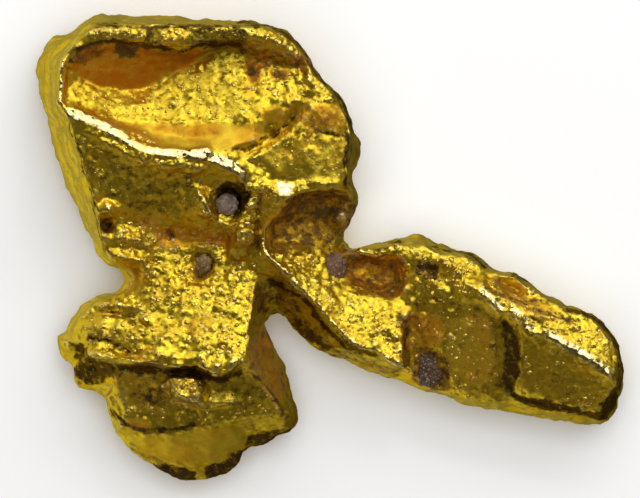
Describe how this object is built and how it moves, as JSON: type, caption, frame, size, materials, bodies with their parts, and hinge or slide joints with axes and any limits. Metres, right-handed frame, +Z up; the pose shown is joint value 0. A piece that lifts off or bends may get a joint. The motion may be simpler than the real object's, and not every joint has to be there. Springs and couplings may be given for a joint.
{
  "type": "gold crystal specimen",
  "caption": "Waterworn specimen of native gold: intergrown hopper crystals in a Y, lying on worn flats.",
  "frame": {"origin": "centre of the specimen's bounding box in plan, on the plane of the worn flats that it lies on", "axes": "+X along the longest side, from the hoppered head towards the arm's tip; +Y from the foot towards the head; +Z up, away from the flats"},
  "size_m": [0.018, 0.0143, 0.0046],
  "materials": {
    "gold": "waterworn native gold",
    "matrix_centre": "rough iron-stained mineral",
    "matrix_neck": "rough iron-stained mineral",
    "matrix_east": "rough iron-stained mineral",
    "matrix_arm": "rough iron-stained mineral"
  },
  "bodies": {
    "root": {"gold_crystal": "gold", "matrix_grain_centre": "matrix_centre", "matrix_grain_neck": "matrix_neck", "matrix_grain_east": "matrix_east", "matrix_grain_arm": "matrix_arm"}
  },
  "joints": []
}
